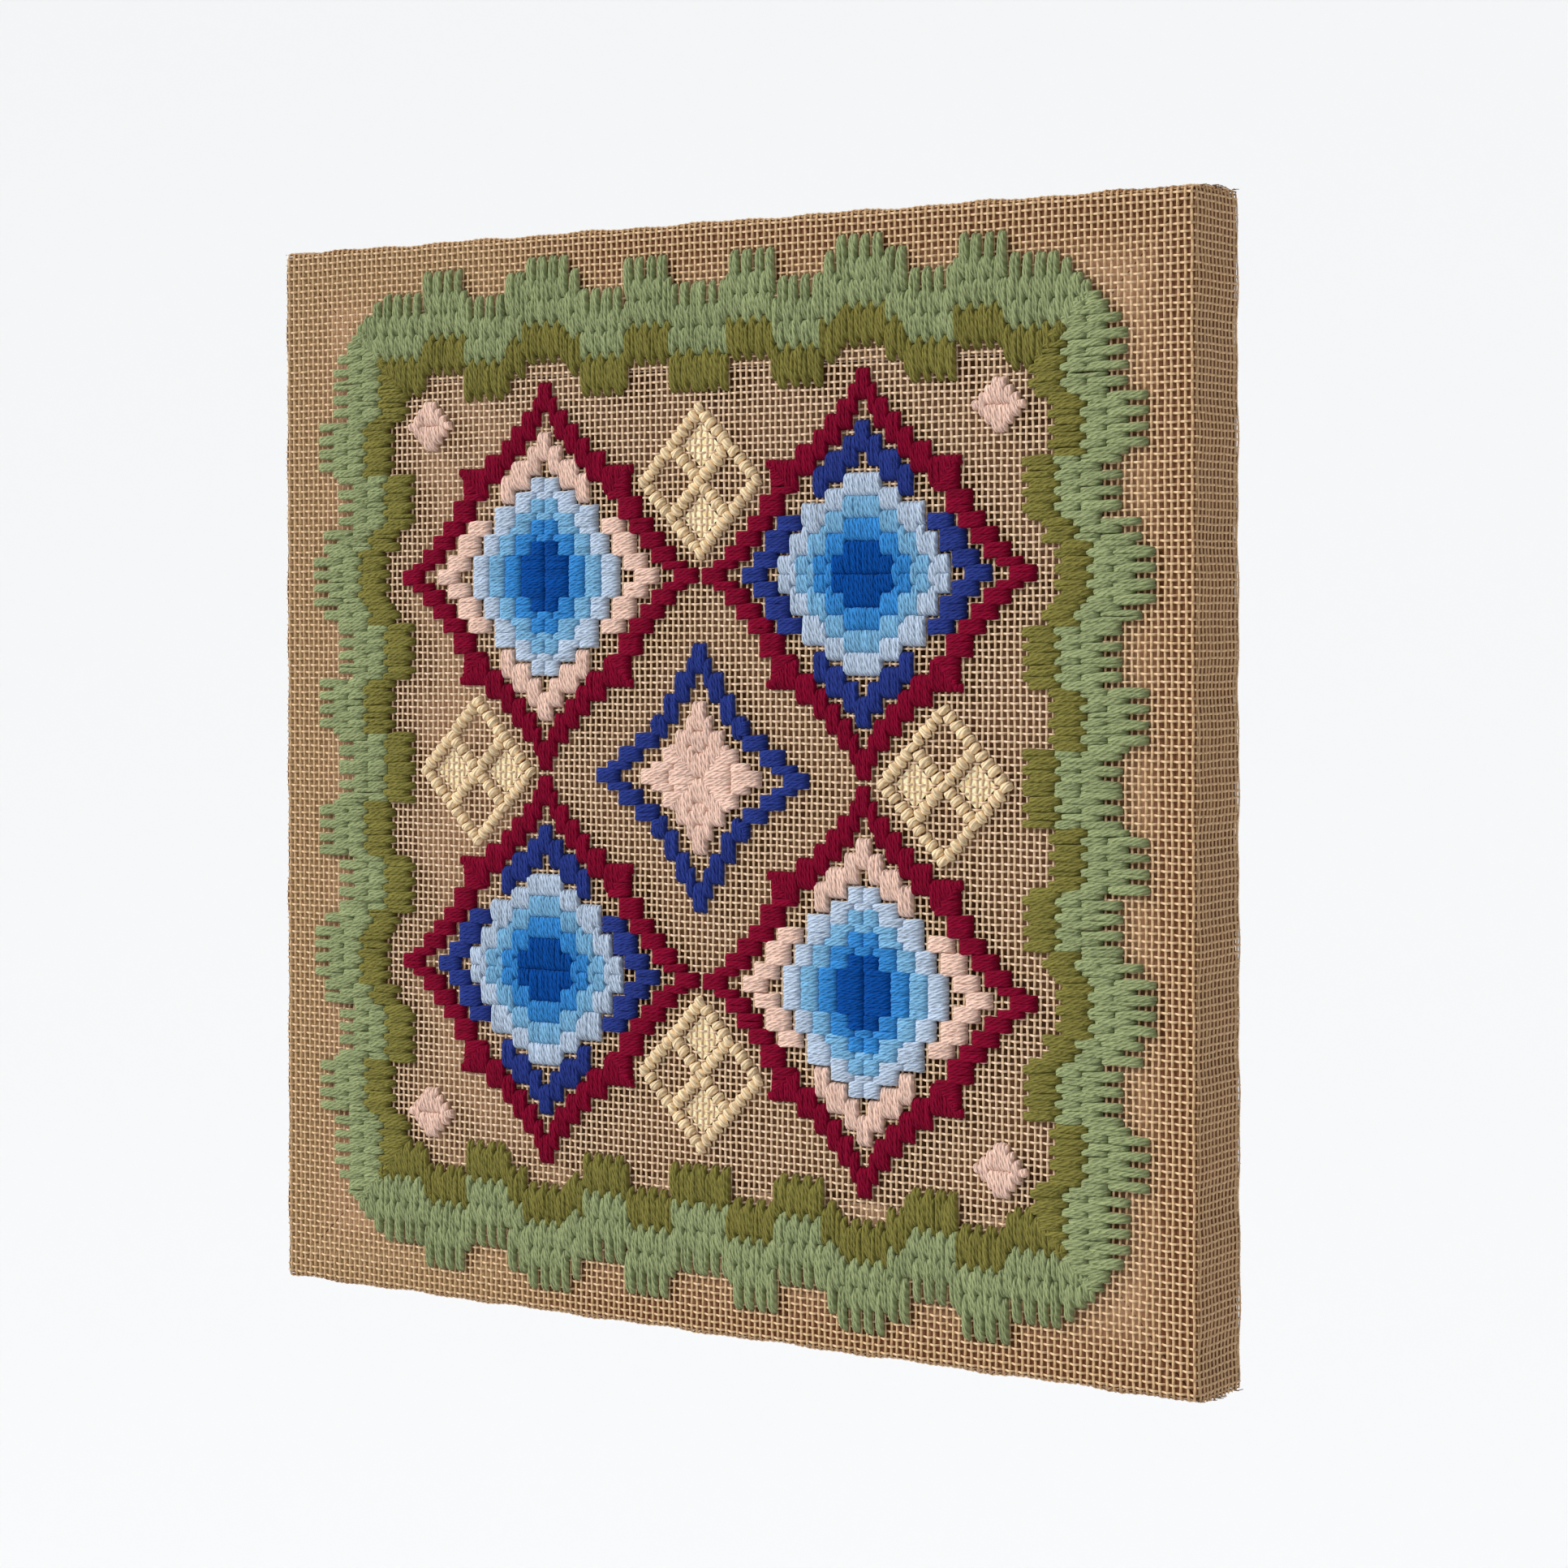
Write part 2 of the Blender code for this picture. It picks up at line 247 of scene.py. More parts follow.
def wrap(reach):
    """Where the cloth's middle surface lies, and how far it has turned, at a reach from the panel's middle.

    Out and y follow the flat front, a quarter turn, the straight side, a tight quarter turn and the hem.
    """
    first = np.clip((reach - FLAT_REACH) / BEND_FRONT, 0, math.pi / 2)
    past = reach - FLAT_REACH - BEND_FRONT * math.pi / 2
    side = np.clip(past, 0, SIDE_RUN)
    second = np.clip((past - SIDE_RUN) / BEND_BACK, 0, math.pi / 2)
    hem = np.clip(past - SIDE_RUN - BEND_BACK * math.pi / 2, 0, None)
    out = np.minimum(reach, FLAT_REACH) + BEND_FRONT * np.sin(first) - BEND_BACK * (1 - np.cos(second)) - hem
    y = FRONT + 2 * THREAD_RADIUS + BEND_FRONT * (1 - np.cos(first)) + side + BEND_BACK * np.sin(second)
    return out, y, first + second


def wander(kind, thread, along):
    """How far a thread strays sideways: two sine waves, an offset of its own and a kink at each crossing."""
    slot = thread + THREAD_SLOTS // 2
    slow, quick = thread_phase[kind][:, slot]
    waves = np.sin(SLOW_WAVE * along + slow) + np.sin(QUICK_WAVE * along + quick)
    return WANDER * waves + thread_offset[kind][slot] + KINK * np.cos(math.pi * (thread + along))


def add_patches(name, points, uv, tone, crown, material, keep=None):
    """One mesh of many like patches: points is (patches, rings, lanes, 3), with quads between neighbours.

    uv is in millimetres, (patches, rings, lanes, 2), tone is one number a patch, crown is a height from 0 to
    1 for each ring, and keep says which stretches between rings are made.
    """
    patches, rings, lanes, _ = points.shape
    index = np.arange(patches * rings * lanes).reshape(patches, rings, lanes)
    quads = np.stack([index[:, :-1, :-1], index[:, 1:, :-1], index[:, 1:, 1:], index[:, :-1, 1:]], axis=-1)
    if keep is not None:
        quads = quads[keep]
    used, corners = np.unique(quads, return_inverse=True)
    corners = corners.ravel().astype(np.int32)
    mesh = bpy.data.meshes.new(name)
    mesh.vertices.add(len(used))
    mesh.vertices.foreach_set("co", points.reshape(-1, 3)[used].astype(np.float32).ravel())
    mesh.loops.add(len(corners))
    mesh.loops.foreach_set("vertex_index", corners)
    mesh.polygons.add(len(corners) // 4)
    mesh.polygons.foreach_set("loop_start", np.arange(0, len(corners), 4, dtype=np.int32))
    mesh.polygons.foreach_set("use_smooth", np.ones(len(corners) // 4, bool))
    mesh.uv_layers.new(name="yarn")
    mesh.uv_layers["yarn"].data.foreach_set("uv", uv.reshape(-1, 2)[used][corners].astype(np.float32).ravel())
    for key, values in (("tone", tone[:, None, None]), ("crown", crown[:, :, None])):
        value = np.broadcast_to(values, index.shape).reshape(-1)[used]
        mesh.attributes.new(key, "FLOAT", "POINT").data.foreach_set("value", value.astype(np.float32))
    mesh.update(calc_edges=True)
    mesh.materials.append(material)
    piece = bpy.data.objects.new(name, mesh)
    bpy.context.scene.collection.objects.link(piece)
    return piece


def thread_points(path, normal, over, kind):
    """Thread surfaces along paths: each ring is a ridge, lifted over or under, between two lower edges."""
    tangent = np.gradient(path, axis=1)
    across = np.cross(normal, tangent)
    across *= THREAD_RADIUS * GIRTH[kind] / np.linalg.norm(across, axis=-1, keepdims=True)
    lift = path + normal * (over * THREAD_RADIUS * SWING[kind])[..., None]
    ridge = lift + normal * THREAD_RADIUS * GIRTH[kind]
    return np.stack([lift - across, ridge, lift + across], axis=2)


def thread_uv(path, start):
    """Millimetres across and along each thread, counted from a start of its own."""
    step = np.linalg.norm(np.diff(path, axis=1), axis=-1)
    along = np.concatenate([np.zeros((len(path), 1)), np.cumsum(step, axis=1)], axis=1)
    along = along + start[:, None] * START_ALONG
    across = np.array([-1.0, 0.0, 1.0]) * THREAD_RADIUS + start[:, None, None] * START_ACROSS
    return np.stack(np.broadcast_arrays(across, along[:, :, None]), axis=-1) * 1000


def crossing_threads(kind, thread, ring, sign, rise=None):
    """Threads that run outwards over the panel's edge. kind 0 is upright and 1 is level.

    thread and ring are counts of threads from the panel's middle. sign is that of the side they run to, or 0
    on the front. rise lifts what lies on the side by a function of the place along the edge and of y.
    """
    edge = (EDGE_THREADS_Z, EDGE_THREADS_X)[kind]
    own, other = ((PITCH_X, PITCH_Z), (PITCH_Z, PITCH_X))[kind]
    thread, ring = np.meshgrid(thread, ring, indexing="ij")
    reach = np.minimum(np.abs(ring), edge) * other + np.maximum(np.abs(ring) - edge, 0) * PITCH
    out, y, turn = wrap(reach)
    side = thread * own + wander(kind, thread, ring)
    if rise:
        out = out + rise(side, y) * np.sin(turn)
    outward = np.where(sign == 0, np.sign(ring), sign)
    flat = (side, out * outward) if kind == 0 else (out * outward, side)
    path = np.stack([flat[0], y, flat[1] + MIDDLE_Z], axis=-1)
    push = np.sin(turn) * outward
    still = np.zeros_like(push)
    normal = np.stack([still, -np.cos(turn), push] if kind == 0 else [push, -np.cos(turn), still], axis=-1)
    over = np.cos(math.pi * (thread + ring + kind)) * (1 - PULLED_TIGHT * np.sin(turn))
    return path, normal, over, kind, None


def sized_cotton(name, upright_colour, level_colour, margin_tint):
    """Cotton threads stiffened with size: straw-coloured and tinted in the margin, with painted shade in the
    dips.

    A thread gets painted shade where it dives under, so each crown stays bright. The rise and fall between
    two crossings is a smooth step in the relief, as the mesh has one ring at each.
    """
    material, tree, shader = start_material(name, Roughness=0.5, IOR=1.45)
    place = add_node(tree, "ShaderNodeTexCoord").outputs["Object"]
    yarn = add_node(tree, "ShaderNodeUVMap", {"uv_map": "yarn"}).outputs["UV"]
    tone = add_node(tree, "ShaderNodeAttribute", {"attribute_name": "tone"}).outputs["Fac"]
    crown = add_node(tree, "ShaderNodeAttribute", {"attribute_name": "crown"}).outputs["Fac"]
    # The real twist is finer than a pixel, so it is drawn as slanting flecks, about two to the crossing
    twist = add_node(tree, "ShaderNodeMapping",
                     {"vector_type": "TEXTURE", "Scale": COTTON_FLECK_MM, "Rotation": (0, 0, COTTON_SLANT)},
                     {"Vector": yarn})
    fibre = add_node(tree, "ShaderNodeTexNoise", {"Scale": 1.0, "Detail": 3.0},
                     {"Vector": twist.outputs["Vector"]})
    # Painted highlight: tone leans the level threads to their paler, lit colour
    body = add_node(tree, "ShaderNodeMix",
                    {"data_type": "RGBA", 6: linear(upright_colour), 7: linear(level_colour)}, {0: tone})
    margin = add_node(tree, "ShaderNodeMapRange", {"From Min": YELLOW_BEGINS, "From Max": YELLOW_FULL},
                      {"Value": reach_of(tree, place)})
    tinted_body = add_node(tree, "ShaderNodeMix",
                    {"data_type": "RGBA", "blend_type": "MULTIPLY", 7: linear(margin_tint)},
                    {0: margin.outputs["Result"], 6: body.outputs[2]})
    wave = add_node(tree, "ShaderNodeMapRange", {"interpolation_type": "SMOOTHSTEP"}, {"Value": crown})
    # Painted shade: the thread darkens towards CANVAS_SHADE where it dives under a crossing
    sunk = add_node(tree, "ShaderNodeMapRange", {"From Min": 0.75, "From Max": 0.0, "To Max": 0.65},
                    {"Value": wave.outputs["Result"]})
    worn = add_node(tree, "ShaderNodeMapRange", {"From Min": 0.60, "From Max": 0.36, "To Max": 0.3},
                    {"Value": fibre.outputs["Fac"]})
    shade_and_flecks = add_node(tree, "ShaderNodeMath", {"operation": "ADD", "use_clamp": True},
                    {0: sunk.outputs["Result"], 1: worn.outputs["Result"]})
    colour = add_node(tree, "ShaderNodeMix", {"data_type": "RGBA", 7: linear(CANVAS_SHADE)},
                      {0: shade_and_flecks.outputs[0], 6: tinted_body.outputs[2]})
    swing = add_node(tree, "ShaderNodeBump", {"Strength": 1.0, "Distance": 2 * THREAD_RADIUS},
                     {"Height": wave.outputs["Result"]})
    bump = add_node(tree, "ShaderNodeBump", {"Strength": 0.4, "Distance": 0.00015},
                    {"Height": fibre.outputs["Fac"], "Normal": swing.outputs["Normal"]})
    tree.links.new(colour.outputs[2], shader.inputs["Base Color"])
    tree.links.new(bump.outputs["Normal"], shader.inputs["Normal"])
    return material


def join_threads(name, groups, materials):
    """One mesh from groups of threads, each (path, normal, over, kind, kept stretches or None)."""
    parts = []
    for number, (path, normal, over, kind, keep) in enumerate(groups):
        start = rng.integers(0, UV_STARTS, len(path))
        tone = np.clip(rng.normal(TONE[kind], TONE_SPREAD, len(path)), 0, 1)
        points = thread_points(path, normal, over, kind)
        crown = 0.5 + 0.5 * over * CROWN[kind]
        parts.append(add_patches(f"{name}_{number}", points, thread_uv(path, start), tone, crown,
                                 materials[kind], keep))
    with bpy.context.temp_override(active_object=parts[0], selected_editable_objects=parts):
        bpy.ops.object.join()
    parts[0].name = name
    return parts[0]


canvas_cotton = sized_cotton("sized_cotton_canvas", CANVAS_UPRIGHT, CANVAS_LEVEL_LIT, CANVAS_YELLOWED)
columns = np.arange(-EDGE_THREADS_X, EDGE_THREADS_X + 1)
rows = np.arange(-EDGE_THREADS_Z, EDGE_THREADS_Z + 1)
canvas_front = join_threads("canvas_front", [crossing_threads(0, columns, rows, 0),
                                             crossing_threads(1, rows, columns, 0)], [canvas_cotton] * 2)
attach(canvas_front, "root")
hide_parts("canvas")

# Canvas sides and hem
# The same cloth, painted browner for the shade it stands in, bent over the bars' edges, down the four sides
# and 20 mm in behind. At each corner the spare cloth is folded under the top or the bottom, which rises over
# it. Some threads fray.
HEM_THREADS = 22
CORNER_RADIUS = 0.00066
CORNER_START = SIDE / 2 - 2 * THREAD_RADIUS - CORNER_RADIUS
PLEAT_RISE = 0.0009
PLEAT_FRONT = 0.004
PLEAT_BACK = 0.022
PLEAT_STEP = 0.002
PLEAT_GROWTH = 3
TUCK_BEGINS = 66
SLACK = 0.00020
SLACK_WAVES = ((0.0067, 1.1), (0.0029, 2.3))
# Painted shade: the sides' cloth is tinted browner than the front, for the shade they stand in
SIDE_SHADE_TINT = "F1E4CD"
# Painted shade: the frayed ends are coloured dark brown for the shade they lie in
FRAYED_SHADE = "5E442D"
# Lines packed in a fold: how far in from the side, and how far forward of the back
BUNCHED = ((0.0007, 0.00115), (0.0010, 0.00055), (0.0016, 0.00090), (0.0007, 0.0222))
BUNCHED_SLOT = 40
RUNNING_SLOT = 5
SLOT_STEP = 3
# Frayed ends: metres, or shares of the panel's depth (BACK) and of the end's own length (AIM, STRAY, CURL)
FRAYS = 20
FRAY_RINGS = 6
FRAY_INSET = (0.0004, 0.0014)
FRAY_SUNK = 0.0008
FRAY_BACK = (0.03, 0.6)
FRAY_AIM = (0.1, 1.0, 0.14)
FRAY_LENGTH = (0.0012, 0.0028)
FRAY_STRAY = (0.15, 0.15, 0.075)
FRAY_CURL = 0.2
FRAY_DROOP = 0.12
FRAY_FLATNESS = (1.0, 1.0, 0.4)
FRAY_FACES = (0.3, 0.0, 0.95)
FRAY_CLEAR = -0.0004
TUFT_EVERY = 6
TUFT_BACK = 0.88
TUFT_AIM = (0.75, 0.9, 0.1)
TUFT_LENGTH = (0.0007, 0.0012)
TUFT_CURL = 0.45
DIAGONAL = math.sqrt(0.5)
FOLD_REACH = FLAT_REACH + BEND_FRONT * math.pi / 2 + SIDE_RUN
# Turns of the cloth, in radians, just past the quarter turn that brings it on to the side
SIDE_ENDS = 1.6
HEM_BEGINS = math.pi / 2 + 0.1


def edge_rings(edge, pitch, bends):
    """Rings of a thread past the panel's edge: one at each crossing, and one at each reach named in bends."""
    at_bends = (np.array(bends) - edge * pitch) / PITCH
    return np.sort(np.concatenate([np.arange(HEM_THREADS + 1), at_bends]))


def slack_rise(along, y):
    """How far a side's cloth stands off: two long sine waves along the edge."""
    return SLACK * sum(np.sin(along / length + phase) for length, phase in SLACK_WAVES)


def pleat_rise(along, y):
    """Rise over a folded corner: a short ramp at an edge that slants inwards to the back, and slack cloth."""
    back = np.clip(1 - y / FRONT, 0, 1)
    edge = SIDE / 2 - PLEAT_FRONT - (PLEAT_BACK - PLEAT_FRONT) * back
    folded = np.clip((np.abs(along) - edge) / PLEAT_STEP, 0, 1) * np.clip(back * PLEAT_GROWTH, 0, 1)
    return PLEAT_RISE * folded + slack_rise(along, y)


def bunched_threads(kind, sign):
    """Threads packed inside the folds of one side: straight lines, which hide the bar's corners.

    kind is that of the side's crossing threads. Each line has a depth in from the side and one from the back.
    """
    own, edge = ((PITCH_X, EDGE_THREADS_X), (PITCH_Z, EDGE_THREADS_Z))[kind]
    inwards, forwards = (np.array(BUNCHED)[:, k, None] for k in (0, 1))
    strand = np.arange(len(BUNCHED))[:, None] * SLOT_STEP + BUNCHED_SLOT
    beside = np.arange(-edge, edge + 1)[None, :]
    out = SIDE / 2 - inwards - THREAD_RADIUS + wander(kind, strand, beside)
    run, out, y = np.broadcast_arrays(beside * own, out, -forwards)
    flat = (run, out * sign) if kind == 0 else (out * sign, run)
    path = np.stack([flat[0], y, flat[1] + MIDDLE_Z], axis=-1)
    normal = np.zeros_like(path)
    normal[..., 2 if kind == 0 else 0] = sign
    return path, normal, np.zeros(path.shape[:2]), 1 - kind, None


def running_threads(kind, sign, rise, begin=0):
    """Threads that run along one side and turn half of each corner, one to a crossing from the front back.

    kind is that of the crossing threads: 0 for the top and bottom sides, 1 for the left and right. Only what
    lies at least begin threads from the side's middle is made.
    """
    own = (PITCH_X, PITCH_Z)[kind]
    edge_own, edge_other = ((EDGE_THREADS_X, EDGE_THREADS_Z), (EDGE_THREADS_Z, EDGE_THREADS_X))[kind]
    count = np.arange(1, HEM_THREADS + 1)
    strand = np.arange(len(count))[:, None] * SLOT_STEP + RUNNING_SLOT
    count, beside = np.meshgrid(count, np.arange(-edge_own - 1, edge_own + 2), indexing="ij")
    at_corner = np.abs(beside) > edge_own
    out, y, turn = wrap(edge_other * (PITCH_Z, PITCH_X)[kind] + count * PITCH)
    corner = CORNER_START + CORNER_RADIUS * DIAGONAL
    run = np.where(at_corner, np.sign(beside) * corner, beside * own)
    lift = rise(run, y) * np.sin(turn)
    out = out + lift - np.where(at_corner, CORNER_RADIUS * (1 - DIAGONAL), 0.0)
    if kind == 1:
        run = run + np.where(at_corner, np.sign(beside) * pleat_rise(run, y) * np.sin(turn), 0.0)
    y = y + np.where(turn < SIDE_ENDS, wander(1 - kind, strand, beside), 0.0)
    flat = (run, out * sign) if kind == 0 else (out * sign, run)
    path = np.stack([flat[0], y, flat[1] + MIDDLE_Z], axis=-1)
    push = np.sin(turn) * sign * np.where(at_corner, DIAGONAL, 1.0)
    bent = np.where(at_corner, np.sign(beside) * DIAGONAL * np.sin(turn), 0.0)
    normal = np.stack([bent, -np.cos(turn), push] if kind == 0 else [push, -np.cos(turn), bent], axis=-1)
    over = -np.cos(math.pi * (beside + edge_other + count + kind)) * (1 - PULLED_TIGHT * np.sin(turn))
    over = np.where(at_corner, 0.0, over)
    inside = (np.abs(run) < out + 0.5 * PITCH) | (turn < HEM_BEGINS)
    made = inside & (np.abs(beside) >= begin)
    return path, normal, over, 1 - kind, made[:, 1:] & made[:, :-1]


def frayed_ends(side_x, side_z):
    """Loose ends at one corner: base + aim * t + curl * t^2, laid along its edge, and a tuft at its back."""
    t = np.linspace(0, 1, FRAY_RINGS)[None, :, None]
    corner = np.array([side_x, 1.0, side_z])
    in_tuft = (np.arange(FRAYS) % TUFT_EVERY == 0)[:, None]
    back = np.where(in_tuft[:, 0], TUFT_BACK, rng.uniform(*FRAY_BACK, FRAYS))
    out = SIDE / 2 - rng.uniform(*FRAY_INSET, FRAYS)
    up = SIDE / 2 - FRAY_SUNK + PLEAT_RISE * np.clip(back * PLEAT_GROWTH, 0, 1)
    base = np.stack([side_x * out, FRONT * (1 - back), side_z * up + MIDDLE_Z], axis=-1)
    aim = np.where(in_tuft, TUFT_AIM, FRAY_AIM) * corner + rng.normal(0, FRAY_STRAY, (FRAYS, 3))
    length = np.where(in_tuft, rng.uniform(*TUFT_LENGTH, (FRAYS, 1)), rng.uniform(*FRAY_LENGTH, (FRAYS, 1)))
    curl = rng.normal(0, np.where(in_tuft, TUFT_CURL, FRAY_CURL), (FRAYS, 3)) * FRAY_FLATNESS
    curl = curl - [0, 0, FRAY_DROOP * side_z]
    path = base[:, None] + length[:, None] * (aim[:, None] * t + curl[:, None] * t ** 2)
    path[..., 1] = np.minimum(path[..., 1], FRAY_CLEAR)
    normal = np.broadcast_to(corner * FRAY_FACES, path.shape)
    return path, normal, np.zeros(path.shape[:2]), 2, None


side_shade_cotton = sized_cotton("browned_cotton_sides", CANVAS_UPRIGHT, CANVAS_LEVEL_LIT, SIDE_SHADE_TINT)
shaded_frayed_cotton = sized_cotton("frayed_cotton_ends", FRAYED_SHADE, CANVAS_UPRIGHT, SIDE_SHADE_TINT)
bends = [FLAT_REACH + BEND_FRONT * math.pi / 4, FOLD_REACH, FOLD_REACH + BEND_BACK * math.pi / 2]
rings_z = EDGE_THREADS_Z + edge_rings(EDGE_THREADS_Z, PITCH_Z, bends)
rings_x = EDGE_THREADS_X + edge_rings(EDGE_THREADS_X, PITCH_X, bends)
tucked = columns[np.abs(columns) >= TUCK_BEGINS]
groups = []
for sign in (1, -1):
    groups.append(crossing_threads(0, tucked, sign * rings_z[1:], sign, slack_rise))
    groups.append(running_threads(0, sign, slack_rise, TUCK_BEGINS))
    groups.append(crossing_threads(0, columns, sign * rings_z, sign, pleat_rise))
    groups.append(crossing_threads(1, rows, sign * rings_x, sign, slack_rise))
    groups.append(running_threads(0, sign, pleat_rise))
    groups.append(running_threads(1, sign, slack_rise))
    groups.append(bunched_threads(0, sign))
    groups.append(bunched_threads(1, sign))
    groups.append(frayed_ends(sign, 1))
    groups.append(frayed_ends(sign, -1))
canvas_sides = join_threads("canvas_sides", groups, (side_shade_cotton, side_shade_cotton, shaded_frayed_cotton))
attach(canvas_sides, "root")
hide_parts("canvas")

# Wool work: the counted chart
# A sampler of four star medallions in counted straight stitch, worked in four directions from each motif's
# middle. Every cell is one hole of the canvas, and its outline goes up in steps of whole threads.
MEDALLION_AT = 28
SPRIG_AT = 50
STEP_DEPTH = 4
BLOOM_BAND = 3
STAR_STEPS = ((0, 28), (1, 26), (2, 24), (4, 22), (6, 20), (8, 18), (11, 16), (16, 0))
LEAF_STEPS = ((0, 21), (1, 19), (3, 17), (6, 15), (8, 0))
BLOOM_STEPS = ((0, 14), (3, 12), (6, 10), (10, 0))
CENTRE_STEPS = ((0, 19), (1, 17), (2, 15), (4, 12), (6, 9), (8, 0))
HEART_STEPS = ((0, 11), (1, 9), (2, 7), (4, 5), (5, 0))
SPRIG_STEPS = ((0, 4), (1, 3), (2, 2), (3, 0))
LONGEST_STITCH = 5


def height_at(distance, steps):
    """Height of a stepped outline at each distance from its axis."""
    height = np.zeros_like(distance)
    for start, level in steps:
        height = np.where(distance >= start, level, height)
    return height


hole_x, hole_z = np.meshgrid(np.arange(THREADS_ACROSS) + 0.5 - THREADS_ACROSS / 2,
                             np.arange(THREADS_UP) + 0.5 - THREADS_UP / 2, indexing="ij")
quarter_x, quarter_z = np.abs(hole_x), np.abs(hole_z)
same_sign = hole_x * hole_z > 0
star_x, star_z = np.abs(quarter_x - MEDALLION_AT), np.abs(quarter_z - MEDALLION_AT)
star_near, star_far = np.minimum(star_x, star_z), np.maximum(star_x, star_z)
mid_near, mid_far = np.minimum(quarter_x, quarter_z), np.maximum(quarter_x, quarter_z)
sprig_x, sprig_z = np.abs(quarter_x - SPRIG_AT), np.abs(quarter_z - SPRIG_AT)

star_top = height_at(star_near, STAR_STEPS)
star_ring = (star_far < star_top) & (star_far >= star_top - STEP_DEPTH)
leaf_top = height_at(star_near, LEAF_STEPS)
leaf_ring = (star_far < leaf_top) & (star_far >= leaf_top - STEP_DEPTH)
bloom_depth = height_at(star_near, BLOOM_STEPS) - star_far
centre_top = height_at(mid_near, CENTRE_STEPS)
centre_ring = (mid_far < centre_top) & (mid_far >= centre_top - STEP_DEPTH)
heart = mid_far < height_at(mid_near, HEART_STEPS)
sprig = np.maximum(sprig_x, sprig_z) < height_at(np.minimum(sprig_x, sprig_z), SPRIG_STEPS)
star_up = star_z >= star_x
mid_up = quarter_z >= quarter_x
everywhere = np.ones_like(star_up)


def runs_of(cells, longest):
    """Stitches along the last axis: every unbroken run of cells, parted evenly so that none is too long."""
    edge = np.diff(np.pad(cells, ((0, 0), (1, 1))).astype(int), axis=1)
    line, first = np.nonzero(edge > 0)
    length = np.nonzero(edge < 0)[1] - first
    parts = np.ceil(length / longest).astype(int)
    run = np.repeat(np.arange(len(line)), parts)
    part = np.arange(len(run)) - np.repeat(np.cumsum(parts) - parts, parts)
    low = first[run] + np.round(part * length[run] / parts[run])
    high = first[run] + np.round((part + 1) * length[run] / parts[run])
    return line[run] + 0.5 - cells.shape[0] / 2, low - cells.shape[1] / 2, high - cells.shape[1] / 2


def count_stitches(cells, upright, middle):
    """Ends of a motif's stitches in threads, (stitches, 2 ends, x and z), quarter by quarter.

    A stitch runs up where upright is true and across elsewhere, and its ends move half a thread to the holes
    nearer the motif's middle, which lies that many threads from the panel's.
    """
    ends = []
    for sx, sz in ((1, 1), (-1, 1), (-1, -1), (1, -1)):
        quarter = cells & (hole_x * sx > 0) & (hole_z * sz > 0)
        for cells_along, centre, order in (((quarter & upright), middle * sz, 1),
                                           ((quarter & ~upright).T, middle * sx, -1)):
            line, low, high = runs_of(cells_along, LONGEST_STITCH)
            low, high = (at - 0.5 * np.sign(at - centre) for at in (low, high))
            ends.append(np.stack([np.stack([line, at][::order], axis=-1) for at in (low, high)], axis=1))
    return np.concatenate(ends)


# Wool work: border
# Two greens of soft tapestry wool, three loosely twisted strands, laid slack over four to six threads in
# brick order, so that the outer edge is a comb with canvas between its teeth. Each stitch swells between its
# two holes and dives into them, and painted shade darkens its ends, which leaves a dark seam where ends meet.
BORDER_STEPS = ((0, 54), (5, 58), (13, 54), (21, 57), (24, 59), (32, 57), (35, 54), (43, 58), (51, 55))
BORDER_HALF = 73
CORNER_CUT = 130
SHORTEST_STITCH = 2
# Directions out of the middle, in x and z, towards the top, the right, the bottom and the left
OUTWARDS = ((0, 1), (1, 0), (0, -1), (-1, 0))
BRICKS = (
    # shade, odd column, from, to, in threads past the border's inner edge
    ("olive", 0, 0, 5),
    ("olive", 1, 1, 6),
    ("sage", 0, 5, 9),
    ("sage", 0, 9, 15),
    ("sage", 1, 6, 12),
)
# How high a stitch stands over the canvas and how deep its ends go, in metres
STITCH_RISE = 0.00145
STITCH_DIP = 0.0004
# Its strands: their number and grid, then how they lie, as shares of its width, its rise or a thread's pitch
STRANDS = 3
STRAND_RINGS = 8
STRAND_LANES = 5
STRAND_STEP = 0.31
STRAND_HALF = 0.33
STRAND_LEAN = 0.06
STRAND_WAVE = 0.06
OUTER_DROP = 0.05
RUN_ON = 0.13
END_STRAY = 0.8
SHOULDER = 3.2
ROUNDNESS = 0.7
DIP_SHARPNESS = 8
SLOW_BEAT = 2.2
QUICK_BEAT = 4.4
# How the wool is coloured
SHIFT_MM = 90
DYE_SPREAD = 0.04
WOOL_RIPPLE_MM = (0.5, 2.2, 1.0)
PLY_SLANT = -0.42
PLY_SCALE = 0.17
OLIVE = "797338"
SAGE = "8F996D"
BORDER_LAY = {"width": 1.1, "fullness": 0.8, "loose": 0.09}


def border_stitches(shade):
    """Ends of one green's stitches on all four sides, cut to the mitre and to the slanting corner."""
    along = np.arange(-BORDER_HALF, BORDER_HALF + 1) + 0.5
    near = np.abs(along)
    inner = height_at(near, BORDER_STEPS)
    ends = []
    for brick, odd, start, stop in BRICKS:
        if brick != shade:
            continue
        low = np.maximum(inner + start, np.floor(near))
        high = np.minimum(inner + stop, CORNER_CUT - near - 0.5)
        chosen = (np.floor(near) % 2 == odd) & (high - low >= SHORTEST_STITCH)
        for out_x, out_z in OUTWARDS:
            pair = [np.stack([out_x * out + out_z * along, out_z * out - out_x * along], axis=-1)
                    for out in (low - 0.5, high - 0.5)]
            ends.append(np.stack(pair, axis=1)[chosen])
    return np.concatenate(ends)


